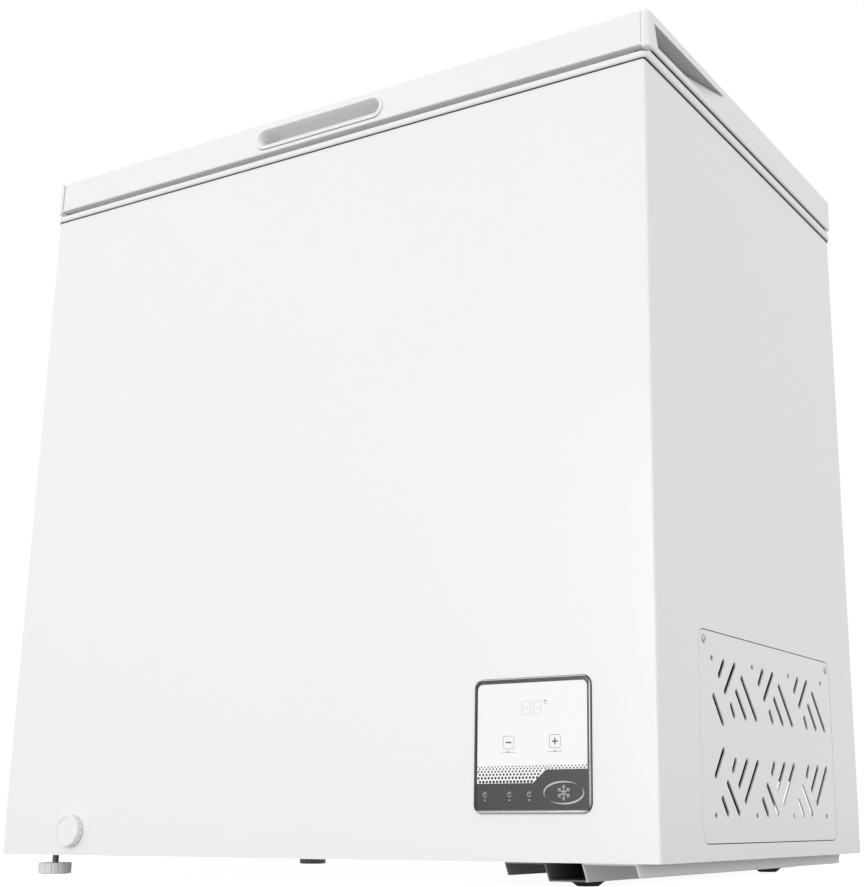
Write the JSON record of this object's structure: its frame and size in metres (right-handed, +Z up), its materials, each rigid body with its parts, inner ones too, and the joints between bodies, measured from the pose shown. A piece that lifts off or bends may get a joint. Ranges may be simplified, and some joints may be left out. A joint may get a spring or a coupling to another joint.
{
  "type": "chest freezer",
  "caption": "Upright box chest freezer with a hinged top lid, recessed front grip, touch control panel, side vent grille, front drain cap, hanging basket and screw feet.",
  "frame": {"origin": "on the floor, under the middle of the bounding box", "axes": "+Z up, -Y the front with the control panel, +X the right-hand side with the vent grille"},
  "size_m": [0.835, 0.572, 0.845],
  "materials": {
    "white_paint": "satin",
    "zinc_sheet": "satin",
    "foam": "matte",
    "lining": "satin",
    "white_plastic": "satin",
    "grip_plastic": "satin",
    "chrome_trim": "polished",
    "panel_film": "gloss",
    "black_plastic": "matte",
    "circuit": "satin",
    "display": "gloss",
    "steel": "satin",
    "black_paint": "satin",
    "copper": "satin",
    "rubber": "matte",
    "grey_plastic": "satin",
    "seal": "matte",
    "coated_wire": "satin"
  },
  "bodies": {
    "cabinet": {"outer_shell": "white_paint", "shell_returns": "white_paint", "rear_panel": "zinc_sheet", "bottom_panel": "zinc_sheet", "compartment_wall": "black_paint", "foam_insulation": "foam", "inner_liner": "lining", "rim_frame": "white_plastic", "panel_bezel": "chrome_trim", "panel_overlay": "panel_film", "panel_housing": "black_plastic", "control_board": "circuit", "display_module": "display", "side_grille": "white_paint", "grille_screws": "steel", "base_tray": "black_paint", "foot_rail": "white_paint", "rubber_feet": "rubber", "foot_inserts": "grey_plastic", "compressor": "black_paint", "compressor_plate": "black_paint", "compressor_grommets": "rubber", "compressor_bolts": "steel", "terminal_cover": "black_plastic", "discharge_tube": "copper", "suction_tube": "copper", "filter_drier": "copper", "capillary_tube": "copper", "wiring_loom": "black_plastic", "condenser_coil": "steel", "evaporator_coil": "copper", "cable_gland": "black_plastic", "rear_spacers": "black_plastic", "drain_elbow": "white_plastic", "hinge_bracket_left": "steel", "hinge_bracket_right": "steel", "hinge_pins": "steel", "hinge_springs": "steel", "hinge_screws": "steel"},
    "lid": {"lid_front_profile": "white_plastic", "lid_rear_profile": "white_plastic", "lid_right_cap": "white_plastic", "lid_left_cap": "white_plastic", "lid_top_skin": "white_paint", "lid_foam": "foam", "lid_liner": "lining", "lid_gasket": "seal", "handle_insert": "grip_plastic", "hinge_leaf_left": "steel", "hinge_leaf_right": "steel", "lid_screws": "steel"},
    "basket": {"wire_basket": "coated_wire", "basket_grips": "grey_plastic"},
    "drain_spout": {"drain_tube": "white_plastic"},
    "drain_knob": {"drain_cap": "white_plastic"},
    "cavity_plug": {"inner_drain_plug": "white_plastic"},
    "front_foot": {"levelling_foot_front": "grey_plastic", "foot_pad_front": "rubber"},
    "rear_foot": {"levelling_foot_rear": "grey_plastic", "foot_pad_rear": "rubber"}
  },
  "joints": [
    {"name": "lid_hinge", "type": "hinge", "parent": "cabinet", "child": "lid", "pos_m": [0, 0.279, 0.806], "axis": [-1, 0, 0], "range_deg": [0, 80], "stiffness_Nm_per_rad": 4, "springref_deg": 108.86},
    {"name": "basket_slide", "type": "slide", "parent": "cabinet", "child": "basket", "axis": [-1, 0, 0], "range_m": [-0.008, 0.46]},
    {"name": "drain_pull", "type": "slide", "parent": "cabinet", "child": "drain_spout", "axis": [0, -1, 0], "range_m": [0, 0.022]},
    {"name": "drain_cap_turn", "type": "hinge", "parent": "drain_spout", "child": "drain_knob", "pos_m": [-0.303, -0.286, 0.0475], "axis": [0, -1, 0], "range_deg": [0, 180]},
    {"name": "plug_lift", "type": "slide", "parent": "cabinet", "child": "cavity_plug", "axis": [0, 0, 1], "range_m": [0, 0.03]},
    {"name": "foot_height_front", "type": "slide", "parent": "cabinet", "child": "front_foot", "axis": [0, 0, -1], "range_m": [-0.006, 0.012]},
    {"name": "foot_height_rear", "type": "slide", "parent": "cabinet", "child": "rear_foot", "axis": [0, 0, -1], "range_m": [-0.006, 0.012]}
  ]
}
